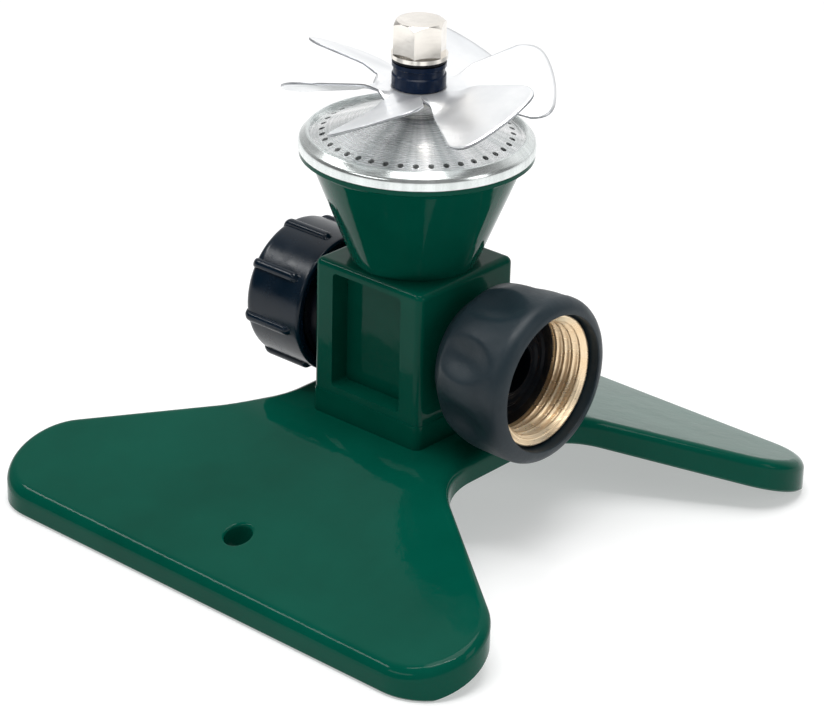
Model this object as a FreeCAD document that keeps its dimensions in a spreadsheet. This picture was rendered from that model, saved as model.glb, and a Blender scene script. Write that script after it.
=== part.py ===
"""Rotary lawn sprinkler on an arched cast base, built piece by piece in millimetres.

Origin on the ground under the spindle. +Z is up, +X points out of the hose inlet.
"""
import FreeCAD, Part
import math
import os

import Sketcher

Vector = FreeCAD.Vector
Rotation = FreeCAD.Rotation
OUT = "parts"

DIMENSIONS = {
    # base plate: bow-tie outline, arched along Y, resting on its two straight ends
    "BaseHalfLength": 67.8, "LobeCornerX": 94.2, "LobeCornerRadius": 13.1,
    "NeckHalfWidth": 26.0, "NeckHalfLength": 19.8, "NeckFillet": 20.0,
    "EndThickness": 6.0, "CrownTop": 20.9, "CrownY": 22.3, "ShoulderUnder": 14.9, "ShoulderY": 21.0,
    "FootWidth": 5.0, "PegHoleRadius": 3.0, "PegHoleY": 54.3, "BaseEdgeRound": 1.5, "BendRadius": 30.0,
    "PadWidth": 31.2, "PadTopY": 15.7, "PadSideY": 16.2, "PadSideZ": 25.2, "PadToeY": 23.5, "PadToeZ": 20.0,
    # body casting: square block with a flared cup on top
    "BlockBottom": 26.4, "BlockTop": 57.3, "BlockHalf": 15.3, "BlockRound": 1.6,
    "PanelWidth": 19.6, "PanelHeight": 26.8, "PanelBottom": 28.25, "PanelDepth": 4.8, "PanelRound": 1.0,
    "HoseAxis": 40.0, "HoseBore": 7.0, "SocketRadius": 9.0, "SocketDepth": 5.0,
    "ConeFoot": 13.7, "ConeTop": 23.0, "LipBottom": 80.6, "LipTop": 83.6, "LipRadius": 25.2,
    "ConeDrop": 4.0, "LipSlope": 0.9, "LipUnderRound": 2.0, "LipRebate": 24.7,
    "ChamberFloor": 62.0, "ChamberFoot": 9.6, "ChamberMouth": 21.2,
    "PortRadius": 1.9, "PortCircle": 6.6, "PortBottom": 43.0,
    # screws that hold the body down
    "ScrewSpacing": 24.0, "ScrewRadius": 1.75, "ScrewHeadRadius": 3.4,
    "ScrewHeadHeight": 2.4, "ScrewTip": 31.4, "ScrewFit": 0.15, "ScrewEndRoom": 0.6,
    "SlotWidth": 1.0, "SlotDepth": 1.0,
    # spray head
    "GasketHeight": 0.8, "GasketInner": 21.4, "PlateRadius": 24.0, "PlateThickness": 1.0, "PlateRim": 22.2,
    "HoleCircle": 20.3, "HoleRadius": 0.65, "HoleCount": 40.0, "HolePhase": 4.5,
    "PlateHub": 5.5, "PlateRise": 6.4,
    "BezelInner": 23.0, "BezelOuter": 25.3, "BezelLand": 0.6, "BezelTop": 86.5, "BezelShoulder": 84.3,
    "BezelSkirt": 82.4, "BezelLip": 0.3,
    # spindle stack
    "StudRadius": 2.5, "StudBottom": 49.0, "LockNutHeight": 1.6, "LockNutWidth": 9.0,
    "WasherThickness": 0.6, "WasherRadius": 5.2, "EndFloat": 0.3, "RunningGap": 0.05,
    "BushingRadius": 5.8, "BushingWaist": 5.3, "BushingTop": 102.0, "HubHeight": 96.2,
    "CapNutWidth": 10.2, "CapNutTop": 111.2, "CapNutRoof": 2.2, "CapNutChamfer": 1.3, "CapNutCrown": 0.3,
    "FlangeRadius": 6.05, "FlangeThickness": 0.9,
    # rotor
    "BladeCount": 6.0, "BladeTip": 29.0, "BladeRoot": 8.0, "BladeHalfAngle": 24.0,
    "BladePitch": 24.0, "BladeRise": 3.0, "BladeThickness": 0.8, "HubRadius": 10.5, "BladePhase": 49.5,
    "WaistStart": 2.6, "WaistTaper": 0.3, "WaistDepth": 0.3, "WaistEnd": 0.9,
    # hose swivel at +X
    "ThreadMajor": 13.5, "ThreadMinor": 12.4, "ThreadPitch": 2.2, "ThreadStart": 30.6, "InsertWall": 1.1,
    "InsertStart": 20.4, "InsertFront": 37.5, "CollarInner": 8.1, "CollarThickness": 2.6,
    "WasherPocket": 13.0, "PocketEnd": 29.2, "GrooveFoot": 0.45, "GrooveLand": 0.2, "GrooveLength": 8.8,
    "ThreadOverlap": 0.25,
    "GripStart": 17.6, "GripRear": 12.8, "GripShoulder": 17.0, "GripShoulderX": 22.0, "GripHook": 2.0,
    "GripShoulderRound": 5.0, "GripBellyRound": 25.0,
    "GripRadius": 18.8, "GripBellyX": 27.0, "GripNose": 18.5, "GripFront": 39.8, "GripRound": 3.2,
    "GripMouth": 15.2, "GripGapDepth": 3.6, "DipCount": 8.0, "DipRadius": 9.0, "DipDepth": 1.0,
    "DipStart": 25.4, "DipEnd": 32.2, "DipPhase": 20.0,
    "FlangeStart": 23.3, "FlangeOuter": 11.6, "FlangeWidth": 2.0, "PipeRadius": 8.0,
    "PipeBore": 6.0, "HoseWasherWidth": 3.2, "HoseWasherInner": 5.6,
    "RibPitch": 2.4, "RibLand": 0.5, "RibDepth": 0.5,
    # outlet at -X with its screw cap
    "OutletRoot": 12.2, "OutletCrest": 13.1, "OutletEnd": 30.6, "OutletCollarEnd": 18.2, "OutletLead": 2.0,
    "RidgeFoot": 0.75, "RidgeLand": 0.25, "RidgeLength": 9.6, "NippleChamfer": 0.8, "NippleLead": 0.6,
    "CapRadius": 16.0, "CapRibHeight": 1.1, "CapRibs": 8.0, "CapRibPhase": 10.0, "CapStart": 19.5,
    "CapEnd": 36.0, "CapWall": 2.6, "CapBore": 13.9, "CapWasherInner": 7.0, "CapRound": 2.2,
    "CapRimRound": 0.7, "CapRibShort": 3.2, "CapRibSink": 0.1, "SealGap": 0.3,
}

doc = FreeCAD.newDocument("Sprinkler")
finished = []


class Size:
    """A length with its value and the sheet expression that gives it."""

    def __init__(self, value, text):
        self.value = float(value)
        self.text = text

    def _combine(self, other, symbol, value):
        return Size(value, "(%s %s %s)" % (self.text, symbol, as_size(other).text))

    def __add__(self, other):
        return self._combine(other, "+", self.value + as_size(other).value)

    def __sub__(self, other):
        return self._combine(other, "-", self.value - as_size(other).value)

    def __mul__(self, other):
        return self._combine(other, "*", self.value * as_size(other).value)

    def __truediv__(self, other):
        return self._combine(other, "/", self.value / as_size(other).value)

    def __neg__(self):
        return Size(-self.value, "(-1 * %s)" % self.text)


def as_size(number):
    """Wrap a plain number so that it can join a dimension in an expression."""
    if isinstance(number, Size):
        return number
    return Size(number, repr(float(number)))


class Dimensions:
    """The driving dimensions by name, each one a Size bound to its sheet cell."""

    def __init__(self, table):
        sheet = doc.addObject("Spreadsheet::Sheet", "Sizes")
        for row, (name, value) in enumerate(table.items(), start=1):
            sheet.set("A%d" % row, name)
            sheet.set("B%d" % row, str(value))
            sheet.setAlias("B%d" % row, name)
            setattr(self, name, Size(value, "Sizes.%s" % name))
        doc.recompute()


d = Dimensions(DIMENSIONS)


def bind(thing, **sizes):
    """Drive properties of an object from the sheet; x, y and z place it."""
    for name, size in sizes.items():
        path = "Placement.Base." + name if name in ("x", "y", "z") else name
        size = as_size(size)
        if name in ("x", "y", "z"):
            setattr(thing.Placement.Base, name, size.value)
        else:
            setattr(thing, name, size.value)
        thing.setExpression(path, size.text)
    return thing


def add(kind, name, **sizes):
    """Add a document object and bind its sizes."""
    return bind(doc.addObject(kind, name), **sizes)


def turn(thing, axis, degrees):
    """Give an object its fixed orientation, keeping its bound position."""
    thing.Placement.Rotation = Rotation(axis, degrees)
    return thing


def boolean(kind, name, base, tool):
    """Cut, fuse or intersect two objects."""
    result = doc.addObject("Part::" + kind, name)
    result.Base = base
    result.Tool = tool
    return result


def fuse_all(name, shapes):
    """Join several objects into one."""
    result = doc.addObject("Part::MultiFuse", name)
    result.Shapes = shapes
    return result


def origin_plane(body, role):
    """One of a body's own origin planes or axes."""
    return next(o for o in body.Origin.OriginFeatures if o.Role == role)


def new_sketch(body, name, role):
    """A sketch on one of the body's origin planes."""
    sketch = body.newObject("Sketcher::SketchObject", name)
    sketch.AttachmentSupport = [(origin_plane(body, role), "")]
    sketch.MapMode = "FlatFace"
    return sketch


def hold(sketch, kind, edge, size):
    """Place the start of an edge at a bound coordinate."""
    axis = -2 if kind == "DistanceX" else -1
    if size.value == 0:
        sketch.addConstraint(Sketcher.Constraint("PointOnObject", edge, 1, axis))
        return
    index = sketch.addConstraint(Sketcher.Constraint(kind, edge, 1, size.value))
    sketch.setExpression("Constraints[%d]" % index, size.text)


def polygon(sketch, points):
    """Draw a closed polygon whose corners are bound pairs of sizes."""
    corners = [(as_size(x), as_size(y)) for x, y in points]
    ends = corners[1:] + corners[:1]
    first = sketch.GeometryCount
    for (x, y), (u, v) in zip(corners, ends):
        start = Vector(x.value, y.value, 0)
        sketch.addGeometry(Part.LineSegment(start, Vector(u.value, v.value, 0)), False)
    count = len(corners)
    for i in range(count):
        after = first + (i + 1) % count
        sketch.addConstraint(Sketcher.Constraint("Coincident", first + i, 2, after, 1))
    for i, (x, y) in enumerate(corners):
        hold(sketch, "DistanceX", first + i, x)
        hold(sketch, "DistanceY", first + i, y)


def turned(name, points, along="Z"):
    """A PartDesign body turned about Z from (radius, height) or about X from (x, radius)."""
    body = doc.addObject("PartDesign::Body", name)
    sketch = new_sketch(body, name + "_profile", "XZ_Plane")
    polygon(sketch, points)
    spin = body.newObject("PartDesign::Revolution", name + "_turn")
    spin.Profile = sketch
    spin.ReferenceAxis = (sketch, ["V_Axis" if along == "Z" else "H_Axis"])
    spin.Angle = 360
    sketch.Visibility = False
    doc.recompute()
    return body


def prism(name, points, role, length):
    """A PartDesign body padded evenly both ways from a plane."""
    body = doc.addObject("PartDesign::Body", name)
    sketch = new_sketch(body, name + "_outline", role)
    polygon(sketch, points)
    pad = body.newObject("PartDesign::Pad", name + "_pad")
    pad.Profile = sketch
    pad.Midplane = True
    bind(pad, Length=length)
    doc.recompute()
    return body


def cylinder(name, radius, length, axis="Z", **place):
    """A cylinder that starts at its bound position and runs along +Z or +X."""
    result = add("Part::Cylinder", name, Radius=radius, Height=length)
    if axis == "X":
        turn(result, Vector(0, 1, 0), 90)
    return bind(result, **place)


def edge_names(shape, wanted):
    """Names of the edges that a test accepts."""
    return ["Edge%d" % (i + 1) for i, edge in enumerate(shape.Edges) if wanted(edge)]


def is_upright(edge):
    """True for a straight vertical edge."""
    if len(edge.Vertexes) != 2 or not isinstance(edge.Curve, (Part.Line, Part.LineSegment)):
        return False
    step = edge.Vertexes[1].Point - edge.Vertexes[0].Point
    return math.hypot(step.x, step.y) < 1e-6


def circle_names(shape, *radii):
    """Names of the circular edges with the given radii."""
    wanted = [as_size(radius).value for radius in radii]
    return edge_names(shape, lambda e: isinstance(e.Curve, Part.Circle)
                      and any(abs(e.Curve.Radius - radius) < 1e-4 for radius in wanted))


def dress(body, kind, name, names, **sizes):
    """Fillet or chamfer the named edges of a body's tip."""
    feature = body.newObject("PartDesign::" + kind, name)
    feature.Base = (body.Tip if body.Tip != feature else feature.BaseFeature, names)
    bind(feature, **sizes)
    doc.recompute()
    return feature


def finish(thing, label):
    """Register an object as a finished piece."""
    thing.Label = label
    finished.append(thing)
    return thing


# ---------------------------------------------------------------- base

def mirror_four(quarter):
    """Corners of a shape that is symmetric about both axes, from its +X +Y quarter."""
    right = quarter
    left = [(-as_size(x), y) for x, y in reversed(quarter)]
    lower_left = [(-as_size(x), -as_size(y)) for x, y in quarter]
    lower_right = [(x, -as_size(y)) for x, y in reversed(quarter)]
    return right + left + lower_left + lower_right


def rounded_bow_tie(name, quarter, corner, neck):
    """A tall upright prism of the bow-tie outline with rounded corners."""
    body = prism(name, mirror_four(quarter), "XY_Plane", as_size(120))
    pad = body.Tip
    outer = edge_names(pad.Shape, lambda e: is_upright(e) and abs(e.Vertexes[0].Y) > 40)
    dress(body, "Fillet", name + "_corners", outer, Radius=corner)
    inner = edge_names(body.Tip.Shape, lambda e: is_upright(e) and abs(e.Vertexes[0].Y) < 25
                       and abs(e.Vertexes[0].X) < 40)
    dress(body, "Fillet", name + "_neck", inner, Radius=neck)
    return body


def arch_profile():
    """Side view of the arched slab, with a flat foot at each end."""
    end = d.BaseHalfLength
    foot = d.BaseHalfLength - d.FootWidth
    return [(end, 0), (end, d.EndThickness), (d.CrownY, d.CrownTop), (-d.CrownY, d.CrownTop),
            (-end, d.EndThickness), (-end, 0), (-foot, 0),
            (-d.ShoulderY, d.ShoulderUnder), (d.ShoulderY, d.ShoulderUnder), (foot, 0)]


def is_bend(edge):
    """True for the arch's straight ridge edges, above and below."""
    if len(edge.Vertexes) != 2:
        return False
    a, b = (v.Point for v in edge.Vertexes)
    return abs(a.y - b.y) + abs(a.z - b.z) < 1e-6 and abs(a.y) < d.CrownY.value + 1


def top_rim(shape):
    """Numbers of the edges round the outside of the upward faces."""
    uses = {}
    for face in shape.Faces:
        low_u, high_u, low_v, high_v = face.ParameterRange
        if face.normalAt((low_u + high_u) / 2, (low_v + high_v) / 2).z < 0.5:
            continue
        for edge in face.Edges:
            uses.setdefault(edge.hashCode(), []).append(edge)
    once = [edges[0] for edges in uses.values() if len(edges) == 1]
    return [i + 1 for i, edge in enumerate(shape.Edges) if any(edge.isSame(o) for o in once)]


def base_slab():
    """The arched bow-tie slab, bent smoothly and eased round its top rim."""
    outline = rounded_bow_tie("base_outline", [
        (d.NeckHalfWidth, d.NeckHalfLength), (d.LobeCornerX, d.BaseHalfLength)],
        d.LobeCornerRadius, d.NeckFillet)
    arch = prism("base_arch", arch_profile(), "YZ_Plane", as_size(220))
    dress(arch, "Fillet", "base_bends", edge_names(arch.Tip.Shape, is_bend), Radius=d.BendRadius)
    slab = boolean("Common", "base_slab", arch, outline)
    doc.recompute()
    rounded = doc.addObject("Part::Fillet", "base_rounded")
    rounded.Base = slab
    radius = d.BaseEdgeRound.value
    rounded.Edges = [(number, radius, radius) for number in top_rim(slab.Shape)]
    doc.recompute()
    return rounded


def make_base():
    """Arched base plate with a raised seat for the body, peg holes and screw holes."""
    slab = base_slab()
    side = [(d.PadTopY, d.BlockBottom), (d.PadSideY, d.PadSideZ), (d.PadToeY, d.PadToeZ),
            (d.PadToeY, d.ShoulderUnder + 0.1)]
    mirrored = [(-y, z) for y, z in reversed(side)]
    pad = prism("base_pad", side + mirrored, "YZ_Plane", d.PadWidth)
    body = fuse_all("base_blank", [slab, pad])
    half = d.ScrewSpacing / 2
    holes = []
    for i, (sx, sy) in enumerate(((1, 1), (-1, 1), (-1, -1), (1, -1))):
        holes.append(cylinder("base_screw_hole%d" % i, d.ScrewRadius + d.ScrewFit, as_size(30),
                              x=half * sx, y=half * sy, z=as_size(8)))
    for i, sy in enumerate((1, -1)):
        holes.append(cylinder("peg_hole%d" % i, d.PegHoleRadius, as_size(40),
                              x=as_size(0), y=d.PegHoleY * sy, z=as_size(-5)))
    return finish(boolean("Cut", "base_plate", body, fuse_all("base_holes", holes)), "sled_base")


def make_screws():
    """Four pan-head screws from under the base into the body."""
    half = d.ScrewSpacing / 2
    head_bottom = d.ShoulderUnder - d.ScrewHeadHeight
    screws = []
    for i, (sx, sy) in enumerate(((1, 1), (-1, 1), (-1, -1), (1, -1))):
        place = {"x": half * sx, "y": half * sy}
        head = cylinder("screw_head%d" % i, d.ScrewHeadRadius, d.ScrewHeadHeight,
                        z=head_bottom, **place)
        shank = cylinder("screw_shank%d" % i, d.ScrewRadius, d.ScrewTip - head_bottom,
                         z=head_bottom, **place)
        slot = add("Part::Box", "screw_slot%d" % i, Length=d.ScrewHeadRadius * 2, Width=d.SlotWidth,
                   Height=d.SlotDepth, x=half * sx - d.ScrewHeadRadius, y=half * sy - d.SlotWidth / 2,
                   z=head_bottom)
        blank = boolean("Fuse", "screw_blank%d" % i, head, shank)
        screws.append(boolean("Cut", "screw%d" % i, blank, slot))
    return finish(fuse_all("screws", screws), "base_screws")


# ---------------------------------------------------------------- body casting

def make_body():
    """Square block with sunk side panels and a flared cup, bored for water."""
    height = d.BlockTop - d.BlockBottom
    block = add("Part::Box", "block", Length=d.BlockHalf * 2, Width=d.BlockHalf * 2, Height=height,
                x=-d.BlockHalf, y=-d.BlockHalf, z=d.BlockBottom)
    doc.recompute()
    eased = doc.addObject("Part::Fillet", "block_rounded")
    eased.Base = block
    radius = d.BlockRound.value
    eased.Edges = [(i + 1, radius, radius) for i, e in enumerate(block.Shape.Edges)
                   if is_upright(e) or e.CenterOfMass.z > d.BlockTop.value - 1]
    root = d.BlockTop - d.ConeDrop
    cup = turned("cup", [(0, root), (d.ConeFoot, root), (d.ConeFoot, d.BlockTop), (d.ConeTop, d.LipBottom),
                         (d.LipRadius, d.LipBottom + d.LipSlope), (d.LipRadius, d.BezelSkirt),
                         (d.LipRebate, d.BezelSkirt), (d.LipRebate, d.LipTop), (0, d.LipTop)])
    dress(cup, "Fillet", "cup_lip", circle_names(cup.Tip.Shape, d.ConeTop), Radius=d.LipUnderRound)
    solid = fuse_all("casting", [eased, cup])
    cuts = [turned("chamber", [(0, d.ChamberFloor), (d.ChamberFoot, d.ChamberFloor),
                               (d.ChamberMouth, d.LipTop), (0, d.LipTop)])]
    for i, side in enumerate((1, -1)):
        face = d.BlockHalf - d.PanelDepth if side > 0 else -d.BlockHalf
        panel = add("Part::Box", "panel%d" % i, Length=d.PanelWidth, Width=d.PanelDepth,
                    Height=d.PanelHeight, x=-(d.PanelWidth / 2), y=face, z=d.PanelBottom)
        doc.recompute()
        soft = doc.addObject("Part::Fillet", "panel_rounded%d" % i)
        soft.Base = panel
        round_by = d.PanelRound.value
        soft.Edges = [(k + 1, round_by, round_by) for k, e in enumerate(panel.Shape.Edges)
                      if abs(e.Vertexes[0].Y - e.Vertexes[1].Y) > 1]
        cuts.append(soft)
    cuts.append(cylinder("hose_bore", d.HoseBore, d.BlockHalf * 2, "X", x=-d.BlockHalf, z=d.HoseAxis))
    cuts.append(cylinder("inlet_socket", d.SocketRadius, d.SocketDepth, "X",
                         x=d.BlockHalf - d.SocketDepth, z=d.HoseAxis))
    cuts.append(cylinder("outlet_socket", d.SocketRadius, d.SocketDepth, "X", x=-d.BlockHalf, z=d.HoseAxis))
    for i in range(4):
        angle = math.radians(45 + 90 * i)
        cuts.append(cylinder("port%d" % i, d.PortRadius, d.ChamberFloor - d.PortBottom,
                             x=d.PortCircle * math.cos(angle), y=d.PortCircle * math.sin(angle),
                             z=d.PortBottom))
    cuts.append(cylinder("stud_hole", d.StudRadius, d.ChamberFloor - d.StudBottom, z=d.StudBottom))
    half = d.ScrewSpacing / 2
    for i, (sx, sy) in enumerate(((1, 1), (-1, 1), (-1, -1), (1, -1))):
        cuts.append(cylinder("body_screw_hole%d" % i, d.ScrewRadius,
                             d.ScrewTip - d.BlockBottom + d.ScrewEndRoom,
                             x=half * sx, y=half * sy, z=d.BlockBottom))
    return finish(boolean("Cut", "body_shell", solid, fuse_all("body_cuts", cuts)), "body_casting")


# ---------------------------------------------------------------- spray head

def make_spray_head():
    """Gasket, perforated plate and the crimped ring that holds it."""
    seat = d.LipTop
    low = seat + d.GasketHeight
    top = low + d.PlateThickness
    finish(turned("gasket", [(d.GasketInner, seat), (d.PlateRadius, seat),
                             (d.PlateRadius, low), (d.GasketInner, low)]), "plate_gasket")
    flat = d.PlateRim
    bore = d.StudRadius
    disc = turned("plate_blank", [(bore, low + d.PlateRise), (d.PlateHub, low + d.PlateRise),
                                  (flat, low), (d.PlateRadius, low), (d.PlateRadius, top), (flat, top),
                                  (d.PlateHub, top + d.PlateRise), (bore, top + d.PlateRise)])
    jets = []
    count = int(d.HoleCount.value)
    for i in range(count):
        angle = math.radians(360.0 * i / count + d.HolePhase.value)
        jets.append(cylinder("jet%02d" % i, d.HoleRadius, as_size(4), x=d.HoleCircle * math.cos(angle),
                             y=d.HoleCircle * math.sin(angle), z=low - 1))
    finish(boolean("Cut", "plate", disc, fuse_all("jets", jets)), "spray_plate")
    finish(turned("bezel", [(d.LipRebate, d.BezelSkirt), (d.BezelOuter, d.BezelSkirt),
                            (d.BezelOuter, d.BezelShoulder), (d.BezelInner + d.BezelLand, d.BezelTop),
                            (d.BezelInner, d.BezelTop - d.BezelLip), (d.BezelInner, top),
                            (d.PlateRadius, top), (d.PlateRadius, seat), (d.LipRebate, seat)]), "bezel_ring")


def hexagon(name, width, height, **place):
    """A hexagonal bar of the given width across flats."""
    bar = add("Part::Prism", name, Circumradius=width / math.sqrt(3), Height=height, **place)
    bar.Polygon = 6
    return bar


def make_spindle():
    """Stud, lock nut, thrust washers and the cap nut."""
    plate_top = d.LipTop + d.GasketHeight + d.PlateThickness + d.PlateRise
    nut_top = plate_top + d.LockNutHeight
    flange = d.BushingTop + d.EndFloat + d.WasherThickness
    stud_top = d.CapNutTop - d.CapNutRoof
    finish(turned("stud", [(0, d.StudBottom), (d.StudRadius, d.StudBottom),
                           (d.StudRadius, stud_top), (0, stud_top)]), "spindle_stud")
    lock = hexagon("lock_nut_blank", d.LockNutWidth, d.LockNutHeight, z=plate_top)
    lock_hole = cylinder("lock_nut_hole", d.StudRadius, d.LockNutHeight, z=plate_top)
    finish(boolean("Cut", "lock_nut", lock, lock_hole), "plate_lock_nut")
    low = nut_top
    finish(turned("lower_washer", [(d.StudRadius, low), (d.WasherRadius, low),
                                   (d.WasherRadius, low + d.WasherThickness),
                                   (d.StudRadius, low + d.WasherThickness)]), "lower_thrust_washer")
    high = d.BushingTop + d.EndFloat
    finish(turned("upper_washer", [(d.StudRadius, high), (d.BushingRadius, high),
                                   (d.BushingRadius, flange), (d.StudRadius, flange)]), "upper_thrust_washer")
    bar = hexagon("cap_nut_hex", d.CapNutWidth, d.CapNutTop - flange, z=flange)
    crown = turned("cap_nut_crown", [(0, flange), (d.CapNutWidth * 0.6, flange),
                                     (d.CapNutWidth * 0.6, d.CapNutTop - d.CapNutChamfer),
                                     (d.CapNutWidth * 0.49, d.CapNutTop - d.CapNutCrown),
                                     (d.CapNutWidth * 0.4, d.CapNutTop), (0, d.CapNutTop)])
    shaped = boolean("Common", "cap_nut_shape", bar, crown)
    skirt = cylinder("cap_nut_flange", d.FlangeRadius, d.FlangeThickness, z=flange)
    blank = fuse_all("cap_nut_blank", [shaped, skirt])
    hole = cylinder("cap_nut_hole", d.StudRadius, stud_top - flange, z=flange)
    finish(boolean("Cut", "cap_nut", blank, hole), "cap_nut")
    return nut_top + d.WasherThickness


# ---------------------------------------------------------------- rotor

def make_rotor(washer_top):
    """Stamped rotor with pitched blades, pressed on a plastic bushing."""
    count = int(d.BladeCount.value)
    under = d.HubHeight - d.BladeThickness / 2
    over = d.HubHeight + d.BladeThickness / 2
    hub = turned("hub_disc", [(d.BushingWaist, under), (d.HubRadius, under),
                              (d.HubRadius, over), (d.BushingWaist, over)])
    tip = turned("blade_reach", [(d.BladeRoot, d.HubHeight - 8), (d.BladeTip, d.HubHeight - 8),
                                 (d.BladeTip, d.HubHeight + 8), (d.BladeRoot, d.HubHeight + 8)])
    blades = []
    for i in range(count):
        heading = d.BladePhase.value + 360.0 * i / count
        sheet = add("Part::Box", "blade_sheet%d" % i, Length=d.BladeTip + 2, Width=d.BladeTip * 2,
                    Height=d.BladeThickness)
        outward = Rotation(Vector(0, 0, 1), heading).multiply(Rotation(Vector(0, 1, 0), -d.BladeRise.value))
        tilt = outward.multiply(Rotation(Vector(1, 0, 0), d.BladePitch.value))
        corner = tilt.multVec(Vector(0, -d.BladeTip.value, -d.BladeThickness.value / 2))
        sheet.Placement.Rotation = tilt
        bind(sheet, x=corner.x, y=corner.y, z=d.HubHeight + corner.z)
        wedge = add("Part::Cylinder", "blade_wedge%d" % i, Radius=d.BladeTip + 1, Height=20,
                    Angle=d.BladeHalfAngle * 2, z=d.HubHeight - 10)
        turn(wedge, Vector(0, 0, 1), heading - d.BladeHalfAngle.value)
        blades.append(boolean("Common", "blade%d" % i, sheet, wedge))
    trimmed = boolean("Common", "blades", fuse_all("blades_raw", blades), tip)
    finish(boolean("Fuse", "rotor_sheet", trimmed, hub), "rotor_blades")
    low = washer_top + d.EndFloat
    bore = d.StudRadius + d.RunningGap
    waist = d.BushingRadius - d.WaistDepth
    waist_low = over + d.WaistStart
    waist_high = d.BushingTop - d.WaistEnd
    finish(turned("bushing", [(bore, low), (d.BushingRadius, low), (d.BushingRadius, under),
                              (d.BushingWaist, under), (d.BushingWaist, over), (d.BushingRadius, over),
                              (d.BushingRadius, waist_low), (waist, waist_low + d.WaistTaper),
                              (waist, waist_high - d.WaistTaper), (d.BushingRadius, waist_high),
                              (d.BushingRadius, d.BushingTop), (bore, d.BushingTop)]), "rotor_bushing")


# ---------------------------------------------------------------- hose swivel

def helix_bar(name, root, crest, foot, land, start, length):
    """A bar of trapezium section wound along a helix about the hose axis.

    Half widths are foot at the root radius and land at the crest radius.
    """
    helix = Part.makeHelix(d.ThreadPitch.value, length, root)
    inner = root - d.ThreadOverlap.value
    widened = foot + (foot - land) * d.ThreadOverlap.value / (crest - root)
    corners = [Vector(inner, 0, -widened), Vector(crest, 0, -land),
               Vector(crest, 0, land), Vector(inner, 0, widened)]
    profile = Part.makePolygon(corners + corners[:1])
    bar = Part.Wire(helix.Edges).makePipeShell([profile], True, True)
    bar.rotate(Vector(0, 0, 0), Vector(0, 1, 0), 90)
    bar.translate(Vector(start, 0, 0))
    feature = doc.addObject("Part::Feature", name)
    feature.Shape = bar
    feature.Placement.Base.z = d.HoseAxis.value
    feature.setExpression("Placement.Base.z", d.HoseAxis.text)
    return feature


def on_hose_axis(thing):
    """Lift a piece turned about X up to the hose axis."""
    return bind(thing, z=d.HoseAxis)


def make_tailpiece():
    """Fixed tube with a flange that holds the swivel on."""
    shoulder = d.BlockHalf
    flange_end = d.FlangeStart + d.FlangeWidth
    end = shoulder - d.SocketDepth
    tail = turned("tailpiece", [(end, d.PipeBore), (end, d.SocketRadius), (shoulder, d.SocketRadius),
                                (shoulder, d.PipeRadius), (d.FlangeStart, d.PipeRadius),
                                (d.FlangeStart, d.FlangeOuter), (flange_end, d.FlangeOuter),
                                (flange_end, d.PipeBore)], "X")
    finish(on_hose_axis(tail), "inlet_tailpiece")


def make_insert(outer):
    """Turning metal insert: a collar behind the flange, a washer pocket and the cut thread."""
    collar_end = d.InsertStart + d.CollarThickness
    blank = turned("insert_blank", [(d.InsertStart, d.CollarInner), (d.InsertStart, outer),
                                    (d.InsertFront, outer), (d.InsertFront, d.ThreadMinor),
                                    (d.PocketEnd, d.ThreadMinor), (d.PocketEnd, d.WasherPocket),
                                    (collar_end, d.WasherPocket), (collar_end, d.CollarInner)], "X")
    on_hose_axis(blank)
    groove = helix_bar("insert_groove", d.ThreadMinor.value, d.ThreadMajor.value, d.GrooveFoot.value,
                       d.GrooveLand.value, d.ThreadStart.value, d.GrooveLength.value)
    finish(boolean("Cut", "insert", blank, groove), "swivel_thread_insert")


def grip_dips():
    """Shallow thumb dips with rounded ends, spaced round the grip."""
    dips = []
    count = int(d.DipCount.value)
    reach = d.GripRadius + d.DipRadius - d.DipDepth
    for i in range(count):
        angle = math.radians(d.DipPhase.value + 360.0 * i / count)
        y = -reach * math.sin(angle)
        z = d.HoseAxis + reach * math.cos(angle)
        dips.append(cylinder("dip%d" % i, d.DipRadius, d.DipEnd - d.DipStart, "X", x=d.DipStart, y=y, z=z))
        for end, x in (("rear", d.DipStart), ("front", d.DipEnd)):
            dips.append(add("Part::Sphere", "dip_%s%d" % (end, i), Radius=d.DipRadius, x=x, y=y, z=z))
    return fuse_all("grip_dips", dips)


def make_grip(outer):
    """Soft barrel-shaped grip moulded over the insert."""
    rear = d.CollarInner + d.GripHook
    gap = d.GripFront - d.GripGapDepth
    grip = turned("grip_blank", [(d.GripStart, rear), (d.GripStart, d.GripRear),
                                 (d.GripShoulderX, d.GripShoulder), (d.GripBellyX, d.GripRadius),
                                 (d.GripFront, d.GripNose),
                                 (d.GripFront, d.GripMouth), (gap, d.GripMouth), (gap, outer),
                                 (d.InsertStart, outer), (d.InsertStart, rear)], "X")
    dress(grip, "Fillet", "grip_belly", circle_names(grip.Tip.Shape, d.GripRadius), Radius=d.GripBellyRound)
    dress(grip, "Fillet", "grip_shoulder", circle_names(grip.Tip.Shape, d.GripShoulder),
          Radius=d.GripShoulderRound)
    dress(grip, "Fillet", "grip_nose", circle_names(grip.Tip.Shape, d.GripNose), Radius=d.GripRound)
    on_hose_axis(grip)
    finish(boolean("Cut", "grip", grip, grip_dips()), "swivel_grip")


def make_hose_washer():
    """Ribbed washer that the hose end seals against."""
    start = d.FlangeStart + d.FlangeWidth + d.SealGap
    front = start + d.HoseWasherWidth
    face = front - d.RibDepth
    profile = [(start, d.HoseWasherInner), (start, d.WasherPocket), (front, d.WasherPocket)]
    for i in (1, 0):
        crest = d.HoseWasherInner + d.RibLand + d.RibPitch * i
        profile += [(front, crest + d.RibPitch - d.RibLand), (face, crest + d.RibPitch - d.RibLand * 2),
                    (face, crest + d.RibLand), (front, crest)]
    washer = turned("washer", profile + [(front, d.HoseWasherInner)], "X")
    finish(on_hose_axis(washer), "hose_washer")


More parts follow.
